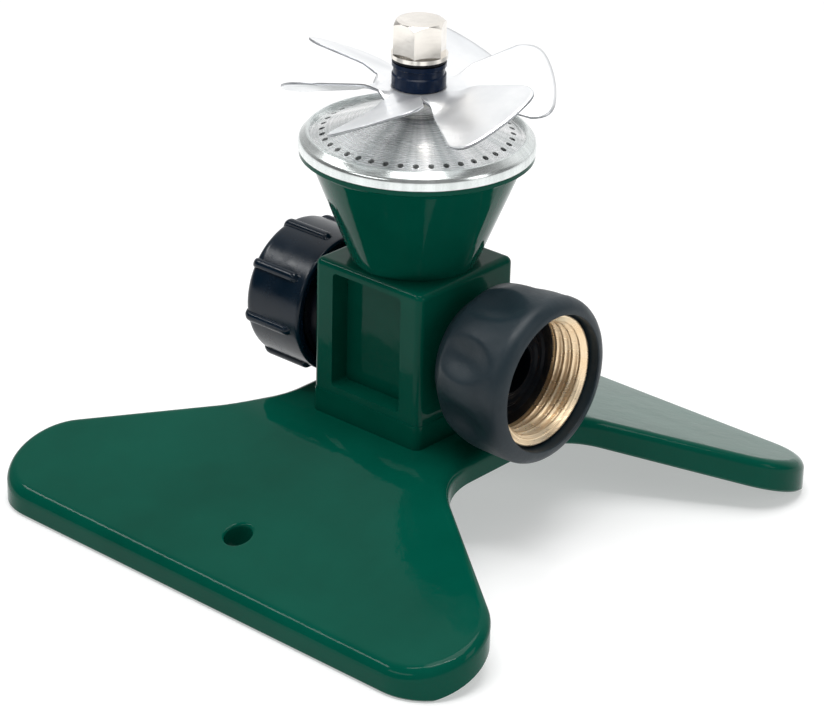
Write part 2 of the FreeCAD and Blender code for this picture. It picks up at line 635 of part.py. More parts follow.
def make_swivel():
    """Fixed tailpiece, turning insert with its internal thread, soft grip and washer."""
    outer = d.ThreadMajor + d.InsertWall
    make_tailpiece()
    make_insert(outer)
    make_grip(outer)
    make_hose_washer()


# ---------------------------------------------------------------- outlet and cap

def make_outlet():
    """Threaded outlet nipple at -X."""
    shoulder = -d.BlockHalf
    blank = turned("outlet_blank", [(shoulder + d.SocketDepth, d.PipeBore), (-d.OutletEnd, d.PipeBore),
                                    (-d.OutletEnd, d.OutletRoot - d.NippleLead),
                                    (-d.OutletEnd + d.NippleChamfer, d.OutletRoot),
                                    (-d.OutletCollarEnd, d.OutletRoot), (-d.OutletCollarEnd, d.OutletCrest),
                                    (shoulder, d.OutletCrest), (shoulder, d.SocketRadius),
                                    (shoulder + d.SocketDepth, d.SocketRadius)], "X")
    on_hose_axis(blank)
    ridge = helix_bar("outlet_ridge", d.OutletRoot.value, d.OutletCrest.value, d.RidgeFoot.value,
                      d.RidgeLand.value, d.OutletLead.value - d.OutletEnd.value, d.RidgeLength.value)
    finish(boolean("Fuse", "outlet", blank, ridge), "outlet_nipple")


def rim_at(body, radius, x):
    """Names of the body's circular edges with the given radius at the given x."""
    shape = body.Tip.Shape
    return [name for name in circle_names(shape, radius)
            if abs(shape.getElement(name).Curve.Center.x - x.value) < 1e-4]


def make_cap():
    """Ribbed screw cap and the washer inside it."""
    floor = d.CapEnd - d.CapWall
    shell = turned("cap_blank", [(-d.CapStart, d.CapBore), (-d.CapStart, d.CapRadius),
                                 (-d.CapEnd, d.CapRadius), (-d.CapEnd, 0), (-floor, 0),
                                 (-floor, d.CapBore)], "X")
    dress(shell, "Fillet", "cap_end_round", rim_at(shell, d.CapRadius, -d.CapEnd), Radius=d.CapRound)
    dress(shell, "Fillet", "cap_rim_round", rim_at(shell, d.CapRadius, -d.CapStart), Radius=d.CapRimRound)
    on_hose_axis(shell)
    finish(fuse_all("cap", [shell] + cap_ribs()), "end_cap")
    seat = d.OutletEnd + d.SealGap
    back = floor - d.SealGap
    outer = d.CapBore - d.SealGap
    washer = turned("cap_washer", [(-seat, d.CapWasherInner), (-seat, outer), (-back, outer),
                                   (-back, d.CapWasherInner)], "X")
    finish(on_hose_axis(washer), "end_cap_washer")


def cap_ribs():
    """Round ribs along the cap, domed at both ends."""
    ribs = []
    count = int(d.CapRibs.value)
    reach = d.CapRadius - d.CapRibSink
    outer_end = -d.CapEnd + d.CapRound
    length = d.CapEnd - d.CapStart - d.CapRound - d.CapRibShort
    for i in range(count):
        angle = math.radians(d.CapRibPhase.value + 360.0 * i / count)
        y = -reach * math.sin(angle)
        z = d.HoseAxis + reach * math.cos(angle)
        ribs.append(cylinder("cap_rib%d" % i, d.CapRibHeight, length, "X", x=outer_end, y=y, z=z))
        for end, x in (("outer", outer_end), ("inner", outer_end + length)):
            ribs.append(add("Part::Sphere", "cap_rib_%s%d" % (end, i), Radius=d.CapRibHeight, x=x, y=y, z=z))
    return ribs


def check_and_write():
    """Refuse to write anything unless every object and every piece is sound."""
    doc.recompute()
    bad = [o.Name for o in doc.Objects if "Invalid" in o.State or "Error" in o.State]
    for piece in finished:
        if piece.Shape.isNull() or not piece.Shape.isValid():
            bad.append("shape of " + piece.Label)
    if bad:
        raise RuntimeError("faulty objects: %s" % bad)
    os.makedirs(OUT, exist_ok=True)
    for piece in finished:
        piece.Shape.exportStep(os.path.join(OUT, piece.Label + ".step"))
        box = piece.Shape.BoundBox
        print("%-22s %8.1f mm3  x %.1f..%.1f  y %.1f..%.1f  z %.1f..%.1f  solids %d" % (
            piece.Label, piece.Shape.Volume, box.XMin, box.XMax, box.YMin, box.YMax,
            box.ZMin, box.ZMax, len(piece.Shape.Solids)))


make_base()
make_screws()
make_body()
make_spray_head()
make_rotor(make_spindle())
make_swivel()
make_outlet()
make_cap()
check_and_write()
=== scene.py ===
import math

import bmesh
import bpy
from mathutils import Matrix, Vector


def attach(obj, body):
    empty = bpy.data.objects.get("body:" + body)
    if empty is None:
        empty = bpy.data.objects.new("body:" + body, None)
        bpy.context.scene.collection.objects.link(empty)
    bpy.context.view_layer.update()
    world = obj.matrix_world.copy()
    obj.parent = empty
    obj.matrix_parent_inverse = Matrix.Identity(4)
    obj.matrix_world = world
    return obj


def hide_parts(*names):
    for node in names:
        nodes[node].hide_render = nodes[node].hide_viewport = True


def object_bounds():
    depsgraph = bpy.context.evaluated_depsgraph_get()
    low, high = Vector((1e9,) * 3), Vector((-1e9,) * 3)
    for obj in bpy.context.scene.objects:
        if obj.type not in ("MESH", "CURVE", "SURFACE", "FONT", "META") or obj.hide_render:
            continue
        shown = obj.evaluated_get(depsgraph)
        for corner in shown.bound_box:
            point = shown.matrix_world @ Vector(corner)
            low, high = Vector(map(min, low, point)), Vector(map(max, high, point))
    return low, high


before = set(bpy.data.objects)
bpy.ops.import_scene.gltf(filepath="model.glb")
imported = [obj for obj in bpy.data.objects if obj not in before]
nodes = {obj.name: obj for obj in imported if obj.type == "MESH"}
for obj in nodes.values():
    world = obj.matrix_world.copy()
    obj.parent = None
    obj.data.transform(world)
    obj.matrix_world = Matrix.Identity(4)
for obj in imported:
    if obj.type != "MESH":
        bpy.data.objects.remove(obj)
cad_low, cad_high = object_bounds()
size = cad_high - cad_low


# ---------------------------------------------------------------- materials

class Shader:
    """Builds a Principled material from noise, colour ramps and bump."""

    def __init__(self, name):
        self.material = bpy.data.materials.new(name)
        self.material.use_nodes = True
        self.tree = self.material.node_tree
        self.shader = self.tree.nodes["Principled BSDF"]
        self.coords = self.tree.nodes.new("ShaderNodeTexCoord").outputs["Object"]
        self.normal = None

    def set(self, **values):
        """Set the shader's own sockets; underscores stand for spaces."""
        for name, value in values.items():
            self.shader.inputs[name.replace("_", " ")].default_value = value

    def link(self, source, target):
        self.tree.links.new(source, target)

    def mapping(self, scale, rotation=(0, 0, 0)):
        """Object coordinates, stretched and turned."""
        node = self.tree.nodes.new("ShaderNodeMapping")
        node.inputs["Scale"].default_value = scale
        node.inputs["Rotation"].default_value = rotation
        self.link(self.coords, node.inputs["Vector"])
        return node.outputs["Vector"]

    def noise(self, scale, detail, rough=0.55, vector=None):
        """Fractal noise between 0 and 1."""
        node = self.tree.nodes.new("ShaderNodeTexNoise")
        node.inputs["Scale"].default_value = scale
        node.inputs["Detail"].default_value = detail
        node.inputs["Roughness"].default_value = rough
        self.link(vector or self.coords, node.inputs["Vector"])
        return node.outputs["Fac"]

    def ramp(self, source, stops):
        """A colour ramp of (position, colour or grey level) stops."""
        node = self.tree.nodes.new("ShaderNodeValToRGB")
        elements = node.color_ramp.elements
        while len(elements) < len(stops):
            elements.new(0.5)
        for element, (position, colour) in zip(elements, stops):
            element.position = position
            if isinstance(colour, (int, float)):
                colour = (colour, colour, colour)
            element.color = (*colour, 1.0)
        self.link(source, node.inputs["Fac"])
        return node.outputs["Color"]

    def colour(self, source):
        self.link(source, self.shader.inputs["Base Color"])

    def rough(self, source):
        self.link(source, self.shader.inputs["Roughness"])

    def bump(self, source, strength, distance):
        """Stack a bump on top of any earlier one."""
        node = self.tree.nodes.new("ShaderNodeBump")
        node.inputs["Strength"].default_value = strength
        node.inputs["Distance"].default_value = distance
        self.link(source, node.inputs["Height"])
        if self.normal:
            self.link(self.normal, node.inputs["Normal"])
        self.normal = node.outputs["Normal"]
        self.link(self.normal, self.shader.inputs["Normal"])


def enamel():
    """Thick glossy green enamel with a faint orange peel and soft clouds of tone."""
    s = Shader("green_enamel")
    cloud = s.noise(38, 3)
    s.colour(s.ramp(cloud, [(0.3, (0.0004, 0.058, 0.037)), (0.7, (0.0008, 0.074, 0.048))]))
    s.rough(s.ramp(s.noise(160, 5), [(0.35, 0.05), (0.75, 0.09)]))
    s.bump(s.noise(520, 2), 0.10, 0.0002)
    s.bump(s.noise(90, 2), 0.08, 0.0008)
    s.set(IOR=1.18)
    return s.material


def turned_metal(name, dark, light, roughness, rings, metallic, streaks=0.0):
    """Lathe-turned metal: fine rings about Z and a painted gleam, light and dark streaks in the base colour
    that run out from the middle.
    """
    ring_scale, ring_detail, ring_height = 1800, 3, 0.00006
    s = Shader(name)
    s.set(Metallic=metallic)
    radius = s.tree.nodes.new("ShaderNodeVectorMath")
    radius.operation = "LENGTH"
    s.link(s.mapping((1, 1, 0)), radius.inputs[0])
    ringed = s.tree.nodes.new("ShaderNodeTexNoise")
    ringed.noise_dimensions = "1D"
    ringed.inputs["Scale"].default_value = ring_scale
    ringed.inputs["Detail"].default_value = ring_detail
    s.link(radius.outputs["Value"], ringed.inputs["W"])
    painted_gleam_heading = s.tree.nodes.new("ShaderNodeVectorMath")
    painted_gleam_heading.operation = "NORMALIZE"
    s.link(s.mapping((1, 1, 0)), painted_gleam_heading.inputs[0])
    # painted highlight: the base colour goes from dark to light with the heading round Z, which paints radial
    # gleam streaks
    s.colour(s.ramp(s.noise(5, 6, 0.7, painted_gleam_heading.outputs["Vector"]), [(0.35, dark), (0.62, light)]))
    s.rough(s.ramp(ringed.outputs["Fac"], [(0.3, roughness * 0.7), (0.7, roughness * 1.3)]))
    s.bump(ringed.outputs["Fac"], rings, ring_height)
    if streaks:
        tangent = s.tree.nodes.new("ShaderNodeTangent")
        tangent.direction_type = "RADIAL"
        tangent.axis = "Z"
        s.link(tangent.outputs["Tangent"], s.shader.inputs["Tangent"])
        s.set(Anisotropic=streaks)
    return s.material


def plain_metal(name, dark, light, low, high, metallic=1.0):
    """Metal with cloudy polish and faint scratches."""
    s = Shader(name)
    s.set(Metallic=metallic)
    s.colour(s.ramp(s.noise(140, 6), [(0.3, dark), (0.7, light)]))
    scratches = s.noise(220, 3, vector=s.mapping((1, 1, 9), (0.3, 0.2, 0.5)))
    s.rough(s.ramp(scratches, [(0.35, low), (0.7, high)]))
    s.bump(scratches, 0.06, 0.00005)
    return s.material


def rotor_metal():
    """Bright pressed sheet with slightly uneven reflections."""
    s = Shader("rotor_metal")
    s.set(Metallic=0.8)
    s.colour(s.ramp(s.noise(60, 5), [(0.32, (0.78, 0.80, 0.82)), (0.62, (0.95, 0.96, 0.97))]))
    s.rough(s.ramp(s.noise(110, 4), [(0.3, 0.28), (0.7, 0.40)]))
    s.bump(s.noise(55, 1), 0.2, 0.0010)
    s.bump(s.noise(240, 3), 0.15, 0.0003)
    return s.material


def plastic(name, dark, light, low, high, grain, depth, ior):
    """Moulded plastic or rubber with a fine grain."""
    s = Shader(name)
    s.colour(s.ramp(s.noise(70, 4), [(0.3, dark), (0.7, light)]))
    s.rough(s.ramp(s.noise(260, 5), [(0.35, low), (0.7, high)]))
    s.bump(s.noise(grain, 3), depth, 0.0002)
    s.set(IOR=ior)
    return s.material


LOOKS = {
    "green_enamel": enamel(),
    # the dark and light colours of the turned metals are the two ends of their painted radial gleam
    "bezel": turned_metal("bezel_aluminium", (0.66, 0.70, 0.69), (0.86, 0.90, 0.89), 0.24, 0.4, 0.85),
    "plate": turned_metal("stainless_plate", (0.56, 0.59, 0.59), (1.0, 1.0, 1.0), 0.26, 0.15, 0.7, 0.6),
    "rotor": rotor_metal(),
    # painted shade: a dark grey for the rotor sheet's rim, so that the blades show a dark outline
    "rotor_shaded_outline": plain_metal("rotor_outline_painted_shade", (0.30, 0.31, 0.33), (0.46, 0.47, 0.49), 0.30, 0.45),
    "nickel": plain_metal("nickel", (0.78, 0.74, 0.68), (0.94, 0.90, 0.84), 0.14, 0.26),
    "brass": plain_metal("thread_brass", (0.92, 0.68, 0.42), (1.0, 0.84, 0.60), 0.26, 0.36, 0.75),
    "steel": plain_metal("spindle_steel", (0.45, 0.45, 0.45), (0.62, 0.62, 0.62), 0.22, 0.38),
    "grip": plastic("grip_rubber", (0.009, 0.018, 0.025), (0.016, 0.028, 0.036),
                    0.36, 0.50, 1300, 0.2, 1.36),
    "cap": plastic("cap_plastic", (0.0006, 0.006, 0.013), (0.0015, 0.010, 0.022),
                   0.18, 0.30, 700, 0.06, 1.36),
    "bushing": plastic("bushing_plastic", (0.001, 0.007, 0.024), (0.003, 0.014, 0.042),
                       0.18, 0.30, 800, 0.1, 1.22),
    "black": plastic("black_plastic", (0.001, 0.002, 0.004), (0.003, 0.004, 0.007),
                     0.25, 0.40, 800, 0.1, 1.25),
    "rubber": plastic("washer_rubber", (0.001, 0.002, 0.004), (0.003, 0.005, 0.008),
                      0.30, 0.45, 1500, 0.2, 1.2),
    "white_plastic": plastic("thrust_washer", (0.62, 0.61, 0.57), (0.76, 0.75, 0.71),
                             0.4, 0.55, 900, 0.15, 1.45),
}

NODE_LOOKS = {
    "sled_base": "green_enamel", "body_casting": "green_enamel", "base_screws": "steel",
    "plate_gasket": "rubber", "spray_plate": "plate", "bezel_ring": "bezel",
    "spindle_stud": "steel", "plate_lock_nut": "steel", "lower_thrust_washer": "white_plastic",
    "upper_thrust_washer": "black", "cap_nut": "nickel", "rotor_blades": "rotor",
    "rotor_bushing": "bushing", "inlet_tailpiece": "black", "swivel_thread_insert": "brass",
    "swivel_grip": "grip", "hose_washer": "rubber", "outlet_nipple": "black",
    "end_cap": "cap", "end_cap_washer": "rubber",
}


def dress_cad_nodes():
    """Give every CAD node its procedural material."""
    for name, look in NODE_LOOKS.items():
        mesh = nodes[name].data
        mesh.materials.clear()
        mesh.materials.append(LOOKS[look])


# ---------------------------------------------------------------- mesh tools, in millimetres

MM = 0.001


def rounded_path(corners, closed=True, steps=8):
    """A path through (u, v, radius) corners, each one turned into an arc of its radius."""
    count = len(corners)
    path = []
    for i, (u, v, radius) in enumerate(corners):
        here = Vector((u, v))
        if radius == 0 or (not closed and i in (0, count - 1)):
            path.append(here)
            continue
        before = Vector(corners[i - 1][:2]) - here
        after = Vector(corners[(i + 1) % count][:2]) - here
        before.normalize()
        after.normalize()
        half = before.angle(after) / 2
        centre = here + (before + after).normalized() * (radius / math.sin(half))
        start = here + before * (radius / math.tan(half)) - centre
        end = here + after * (radius / math.tan(half)) - centre
        sweep = start.angle_signed(end)
        for k in range(steps + 1):
            turn = Matrix.Rotation(-sweep * k / steps, 2)
            path.append(centre + turn @ start)
    return path


def divided(path, step, closed=True):
    """The same path with its long runs cut into pieces no longer than step."""
    result = []
    pairs = list(zip(path, path[1:] + path[:1])) if closed else list(zip(path, path[1:]))
    for a, b in pairs:
        pieces = max(1, math.ceil((b - a).length / step))
        result.extend(a.lerp(b, k / pieces) for k in range(pieces))
    if not closed:
        result.append(path[-1])
    return result


def even_angles(count):
    return [2 * math.pi * i / count for i in range(count)]


def add_piece(name, bm, body, look, slot, *replaced, sharp=40):
    """Turn a bmesh in millimetres into a finished piece that rides on a body."""
    bmesh.ops.recalc_face_normals(bm, faces=bm.faces)
    bmesh.ops.scale(bm, vec=(MM, MM, MM), verts=bm.verts)
    mesh = bpy.data.meshes.new(name)
    bm.to_mesh(mesh)
    bm.free()
    for face in mesh.polygons:
        face.use_smooth = True
    mesh.set_sharp_from_angle(angle=math.radians(sharp))
    mesh.materials.append(LOOKS[look])
    piece = bpy.data.objects.new(name, mesh)
    bpy.context.scene.collection.objects.link(piece)
    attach(piece, body)
    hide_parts(*replaced)
    return piece


def lathe(path, angles, place, closed=True, shape=None):
    """Spin a (distance along the axis, radius) path; shape may change the radius by place and angle."""
    bm = bmesh.new()
    rows = []
    for along, radius in path:
        if radius < 1e-6:
            rows.append([bm.verts.new(place(along, 0, 0))] * len(angles))
            continue
        rows.append([bm.verts.new(place(along, shape(along, radius, a) if shape else radius, a))
                     for a in angles])
    pairs = list(zip(rows, rows[1:]))
    if closed:
        pairs.append((rows[-1], rows[0]))
    count = len(angles)
    for first, second in pairs:
        for j in range(count):
            k = (j + 1) % count
            ring = [first[j], first[k], second[k], second[j]]
            corners = [v for n, v in enumerate(ring) if v not in ring[:n]]
            bm.faces.new(corners)
    return bm


HOSE_Z = 40.0
INSERT_START, INSERT_RADIUS = 20.4, 14.6


def round_hose_axis(x, radius, angle):
    """A point round the hose axis; the angle runs from straight up towards the front."""
    return (x, -radius * math.sin(angle), HOSE_Z + radius * math.cos(angle))


def smooth_step(value, low, high):
    t = min(1.0, max(0.0, (value - low) / (high - low)))
    return t * t * (3 - 2 * t)


# ---------------------------------------------------------------- hose swivel

def build_grip():
    """Barrel-shaped soft grip with shallow thumb dips."""
    dip_count = 8
    dip_phase = math.radians(20)
    dip_middle, dip_reach, dip_half_width, dip_depth, dip_curve = 28.2, 8.0, 5.4, 1.9, 1.7
    rear_x, rear_bore, rear_radius = 17.6, 10.1, 12.8
    shoulder_x, shoulder, belly_x, belly = 22, 17, 27, 18.8
    front_x, nose, mouth, mouth_floor = 39.8, 18.5, 15.2, 36.2
    outside = 15.6
    path_step, facets = 0.7, 288

    def dipped(x, radius, angle):
        if radius < outside:
            return radius
        pitch = 2 * math.pi / dip_count
        offset = (angle - dip_phase + pitch / 2) % pitch - pitch / 2
        away = ((x - dip_middle) / dip_reach) ** 2 + (offset * radius / dip_half_width) ** 2
        return radius - dip_depth * max(0.0, 1 - away) ** dip_curve

    path = rounded_path([
        (rear_x, rear_bore, 0.3), (rear_x, rear_radius, 0.8), (shoulder_x, shoulder, 5), (belly_x, belly, 20),
        (front_x, nose, 3.2), (front_x, mouth, 0.3), (mouth_floor, mouth, 0), (mouth_floor, INSERT_RADIUS, 0),
        (INSERT_START, INSERT_RADIUS, 0), (INSERT_START, rear_bore, 0)])
    bm = lathe(divided(path, path_step), even_angles(facets), round_hose_axis, shape=dipped)
    add_piece("grip_barrel", bm, "swivel", "grip", "grip_rubber", "swivel_grip", sharp=50)


def build_thread():
    """Turned insert with a rounded right-hand thread cut in its mouth."""
    pitch, crest, root, crest_curve = 2.2, 12.4, 13.5, 1.1
    back, front, run_in, run_out, blunt = 29.6, 37.1, 0.8, 0.7, 0.35
    front_x, lip, lead_x, bore = 37.5, 14.1, 36.9, 13.1
    pocket_end, pocket, collar_end, collar = 29.2, 13.0, 23.0, 8.1
    wall = 13.4
    path_step, facets = 0.14, 200

    def threaded(x, radius, angle):
        if not (back < x < front and radius < wall):
            return radius
        turn = (x / pitch - angle / (2 * math.pi)) % 1.0
        ridge = (0.5 + 0.5 * math.cos(2 * math.pi * turn)) ** crest_curve
        fade = smooth_step(x, back, back + run_in) * (1 - smooth_step(x, front - run_out, front))
        return root - (root - crest) * (ridge * fade + (1 - fade) * blunt)

    path = rounded_path([
        (INSERT_START, collar, 0.2), (INSERT_START, INSERT_RADIUS, 0.3), (front_x, INSERT_RADIUS, 0.25),
        (front_x, lip, 0.25), (lead_x, bore, 0.2), (pocket_end, bore, 0), (pocket_end, pocket, 0),
        (collar_end, pocket, 0.3), (collar_end, collar, 0.2)], steps=4)
    bm = lathe(divided(path, path_step), even_angles(facets), round_hose_axis, shape=threaded)
    add_piece("threaded_insert", bm, "swivel", "brass", "thread_brass", "swivel_thread_insert", sharp=60)


# ---------------------------------------------------------------- end cap

def build_cap():
    """Screw cap with half-round ribs that run over its outer edge."""
    rib_count = 8
    rib_phase = math.radians(10)
    rib_half, rib_height, rib_end = 1.15, 0.95, -22.3
    pitch = 2 * math.pi / rib_count
    outer, bore, mouth_x, floor_x, end_x = 16, 13.9, -19.5, -33.4, -36
    groove_in, groove_out, groove_x = 10, 11, -35.4
    rib_low, rib_full = 14.3, 15.4
    rib_cuts, plain_cuts = 11, 14
    path_step = 0.5

    def ribbed(x, radius, angle):
        if radius < rib_low:
            return radius
        offset = (angle - rib_phase + pitch / 2) % pitch - pitch / 2
        across = (offset * outer / rib_half) ** 2
        past = max(0.0, (x - rib_end + rib_half) / rib_half) ** 2
        inside = max(0.0, 1 - across - past)
        outer_fade = smooth_step(radius, rib_low, rib_full)
        return radius + rib_height * math.sqrt(inside) * outer_fade

    rib_edge = rib_half * 1.1 / outer
    fine = [rib_edge * k / rib_cuts for k in range(-rib_cuts, rib_cuts + 1)]
    coarse = [rib_edge + (pitch - 2 * rib_edge) * k / plain_cuts for k in range(1, plain_cuts)]
    angles = [rib_phase + pitch * i + step for i in range(rib_count) for step in fine + coarse]
    path = rounded_path([
        (end_x, 0, 0), (end_x, groove_in - 0.5, 0.4), (groove_x, groove_in, 0.4), (groove_x, groove_out, 0.4),
        (end_x, groove_out + 0.5, 0.4), (end_x, outer, 2.2), (mouth_x, outer, 0.7), (mouth_x, bore, 0.4),
        (floor_x, bore, 0.3), (floor_x, 0, 0)], closed=False, steps=6)
    bm = lathe(divided(path, path_step, closed=False), angles, round_hose_axis, closed=False, shape=ribbed)
    add_piece("ribbed_cap", bm, "cap", "cap", "cap_plastic", "end_cap", sharp=50)


# ---------------------------------------------------------------- spray head

def build_bezel():
    """Crimped ring with one smooth rounded shoulder."""
    def round_spindle(z, radius, angle):
        return (radius * math.cos(angle), radius * math.sin(angle), z)

    lip_top, plate_top, top, skirt = 83.6, 85.4, 86.5, 82.4
    inner, plate_edge, rebate, outer = 23.0, 24.0, 24.7, 25.3
    path = rounded_path([
        (lip_top, plate_edge, 0), (plate_top, plate_edge, 0), (plate_top, inner, 0), (top - 0.4, inner, 0.15),
        (top, inner + 0.6, 0.4), (top - 1.8, outer, 1.6), (skirt, outer, 0.3), (skirt, rebate, 0),
        (lip_top, rebate, 0)])
    bm = lathe(path, even_angles(256), round_spindle)
    add_piece("crimped_bezel", bm, "base", "bezel", "bezel_aluminium", "bezel_ring", sharp=50)


# ---------------------------------------------------------------- rotor

def build_rotor():
    """Stamped rotor: a flat hub from which six twisted, slightly dished blades rise."""
    blade_count, half_angle, tip, hub, hub_height = 6, 24.0, 29.0, 10.0, 96.2
    bore, phase, step, thickness = 5.35, 49.5, 1.0, 0.5
    slope = math.tan(math.radians(24.0))
    rise = math.tan(math.radians(3.0))
    pitch = 360.0 / blade_count
    twist_start, twist_full, dish_start, dish_depth = 6.5, 14, 12, 0.45
    corner_depth, corner_sharpness = 4.5, 7
    hub_rows, outer_rows = 6, 20

    def height(radius, offset):
        """Height above the hub; offset is in degrees from the blade's middle line."""
        edge = max(-half_angle, min(half_angle, offset))
        gap = pitch - 2 * half_angle
        outside = abs(offset) - half_angle
        lean = edge if outside <= 0 else math.copysign(half_angle * (1 - 2 * outside / gap), offset)
        twist = smooth_step(radius, twist_start, twist_full)
        across = radius * math.sin(math.radians(lean))
        dish = dish_depth * smooth_step(radius, dish_start, tip) * (lean / half_angle) ** 2
        return across * slope * twist + max(0.0, radius - hub) * rise - dish

    def reach(offset):
        """Outer radius of a blade with rounded corners."""
        return tip - corner_depth * (abs(offset) / half_angle) ** corner_sharpness

    bm = bmesh.new()
    columns = int(round(360 / step))
    inner_rows = [bore + (hub - bore) * k / hub_rows for k in range(hub_rows + 1)]
    grid = []
    for c in range(columns):
        heading = c * step
        offset = (heading + pitch / 2) % pitch - pitch / 2
        radii = list(inner_rows)
        if abs(offset) <= half_angle:
            radii += [hub + (reach(offset) - hub) * k / outer_rows for k in range(1, outer_rows + 1)]
        angle = math.radians(heading + phase)
        grid.append([bm.verts.new((r * math.cos(angle), r * math.sin(angle), hub_height + height(r, offset)))
                     for r in radii])
    for c in range(columns):
        near, far = grid[c], grid[(c + 1) % columns]
        for k in range(min(len(near), len(far)) - 1):
            bm.faces.new((near[k], near[k + 1], far[k + 1], far[k]))
    rotor = add_piece("pressed_rotor", bm, "rotor", "rotor", "rotor_metal", "rotor_blades", sharp=70)
    sheet = rotor.modifiers.new("thickness", "SOLIDIFY")
    sheet.thickness = thickness * MM
    sheet.offset = 0
    # painted shade: the sheet's rim takes the dark grey outline colour
    rotor.data.materials.append(LOOKS["rotor_shaded_outline"])
    sheet.material_offset_rim = 1


# ---------------------------------------------------------------- base

END_Y, END_TOP, FOOT_Y = 67.8, 6.0, 62.8
CROWN_Y, CROWN_TOP, SHOULDER_Y, SHOULDER_UNDER = 22.3, 20.9, 21.0, 14.9
BEND = 30.0


def bent(y, knee, level, end, low):
    """Height of a level that turns down at a knee to a straight slope, with a smooth bend."""
    y = abs(y)
    slope = (low - level) / (end - knee)
    run = BEND * math.tan(-math.atan(slope) / 2)
    if y < knee - run:
        return level
    turned = BEND * math.sin(-math.atan(slope))
    if y < knee - run + turned:
        return level - BEND + math.sqrt(BEND ** 2 - (y - knee + run) ** 2)
    return level + slope * (y - knee)


def top_height(y):
    return bent(y, CROWN_Y, CROWN_TOP, END_Y, END_TOP)


def under_height(y):
    return max(0.0, bent(y, SHOULDER_Y, SHOULDER_UNDER, FOOT_Y, 0.0))


def build_base():
    """Arched bow-tie plate with a full round along its top edge and a peg hole in each lobe."""
    flat, edge_round, foot_round, hole, hole_y = 6.0, 2.4, 0.5, 3.0, 54.3
    round_steps, hole_facets, fine_step = 8, 40, 0.8
    quarter = [(26.0, 19.8, 20.0), (94.2, END_Y, 13.1)]
    corners = quarter + [(-x, y, r) for x, y, r in reversed(quarter)]
    corners += [(-x, -y, r) for x, y, r in quarter] + [(x, -y, r) for x, y, r in reversed(quarter)]
    outline = divided(rounded_path(corners, steps=24), 2.0)
    count = len(outline)
    inward = []
    for i in range(count):
        along = (outline[(i + 1) % count] - outline[i - 1]).normalized()
        inward.append(Vector((-along.y, along.x)))
    if sum((b - a).cross(a) for a, b in zip(outline, outline[1:] + outline[:1])) > 0:
        inward = [-n for n in inward]

    bm = bmesh.new()
    levels = [(foot_round, 0.0), (0.0, foot_round), (0.0, flat - edge_round)]
    levels += [(edge_round * (1 - math.cos(t)), flat - edge_round * (1 - math.sin(t)))
               for t in (math.pi / 2 * k / round_steps for k in range(1, round_steps + 1))]
    rings = [[bm.verts.new((*(p + n * inset), z)) for p, n in zip(outline, inward)] for inset, z in levels]
    for first, second in zip(rings, rings[1:]):
        for i in range(count):
            k = (i + 1) % count
            bm.faces.new((first[i], first[k], second[k], second[i]))

    hole_levels = [(hole + 0.7, flat), (hole + 0.35, flat - 0.1), (hole + 0.1, flat - 0.35),
                   (hole, flat - 0.7), (hole, 0.4), (hole + 0.4, 0.0)]
    hole_ends = []
    for side in (-1, 1):
        loops = [[bm.verts.new((r * math.cos(a), side * hole_y + r * math.sin(a), z))
                  for a in even_angles(hole_facets)] for r, z in hole_levels]
        for first, second in zip(loops, loops[1:]):
            for i in range(hole_facets):
                k = (i + 1) % hole_facets
                bm.faces.new((first[i], first[k], second[k], second[i]))
        hole_ends.append((loops[0], loops[-1]))

    def loop_edges(loop):
        return [bm.edges.get((loop[i], loop[(i + 1) % len(loop)])) for i in range(len(loop))]

    for rim, pick in ((rings[-1], 0), (rings[0], 1)):
        edges = loop_edges(rim)
        for ends in hole_ends:
            edges += loop_edges(ends[pick])
        bmesh.ops.triangle_fill(bm, edges=edges, use_beauty=True)

    # close cuts across the bend, wider ones along the flat runs
    cuts = [k * fine_step for k in range(19, 36)] + [4, 8, 12, 34, 41, 48, FOOT_Y]
    for y in [side * c for c in cuts for side in (-1, 1)]:
        everything = bm.verts[:] + bm.edges[:] + bm.faces[:]
        bmesh.ops.bisect_plane(bm, geom=everything, plane_co=(0, y, 0), plane_no=(0, 1, 0), dist=1e-5)
    for v in bm.verts:
        if v.co.z > flat / 2:
            v.co.z = top_height(v.co.y) - (flat - v.co.z)
        else:
            v.co.z = under_height(v.co.y) + v.co.z
    plate = add_piece("arched_base", bm, "base", "green_enamel", "green_enamel", "sled_base", sharp=35)
    weigh = plate.modifiers.new("even_shading", "WEIGHTED_NORMAL")
    weigh.keep_sharp = True


def build_seat():
    """Straight plinth under the block, sunk a little into the arch."""
    top, half, corner, sunk = 26.4, 15.5, 1.8, 0.1
    outline = rounded_path([(half, half, corner), (-half, half, corner),
                            (-half, -half, corner), (half, -half, corner)])
    bm = bmesh.new()
    upper = [bm.verts.new((p.x, p.y, top)) for p in outline]
    lower = [bm.verts.new((p.x, p.y, top_height(p.y) - sunk)) for p in outline]
    for i in range(len(outline)):
        k = (i + 1) % len(outline)
        bm.faces.new((upper[i], upper[k], lower[k], lower[i]))
    bm.faces.new(upper)
    bm.faces.new(lower)
    add_piece("body_seat", bm, "base", "green_enamel", "green_enamel", "sled_base", sharp=35)


# ---------------------------------------------------------------- studio

def build_stage():
    """A pale floor that glows a little, so that the contact shadow stays light."""
    mesh = bpy.data.meshes.new("floor")
    half, below = 3.0, 0.0002
    mesh.from_pydata([(-half, -half, 0), (half, -half, 0), (half, half, 0), (-half, half, 0)],
                     [], [(0, 1, 2, 3)])
    floor = bpy.data.objects.new("floor", mesh)
    floor.location.z = cad_low.z - below
    bpy.context.scene.collection.objects.link(floor)
    s = Shader("floor_paper")
    s.colour(s.ramp(s.noise(3, 3), [(0.3, (0.60, 0.60, 0.60)), (0.7, (0.63, 0.63, 0.63))]))
    s.set(Emission_Color=(1, 1, 1, 1), Emission_Strength=0.42)
    s.rough(s.ramp(s.noise(40, 4), [(0.3, 0.75), (0.7, 0.9)]))
    floor.data.materials.append(s.material)


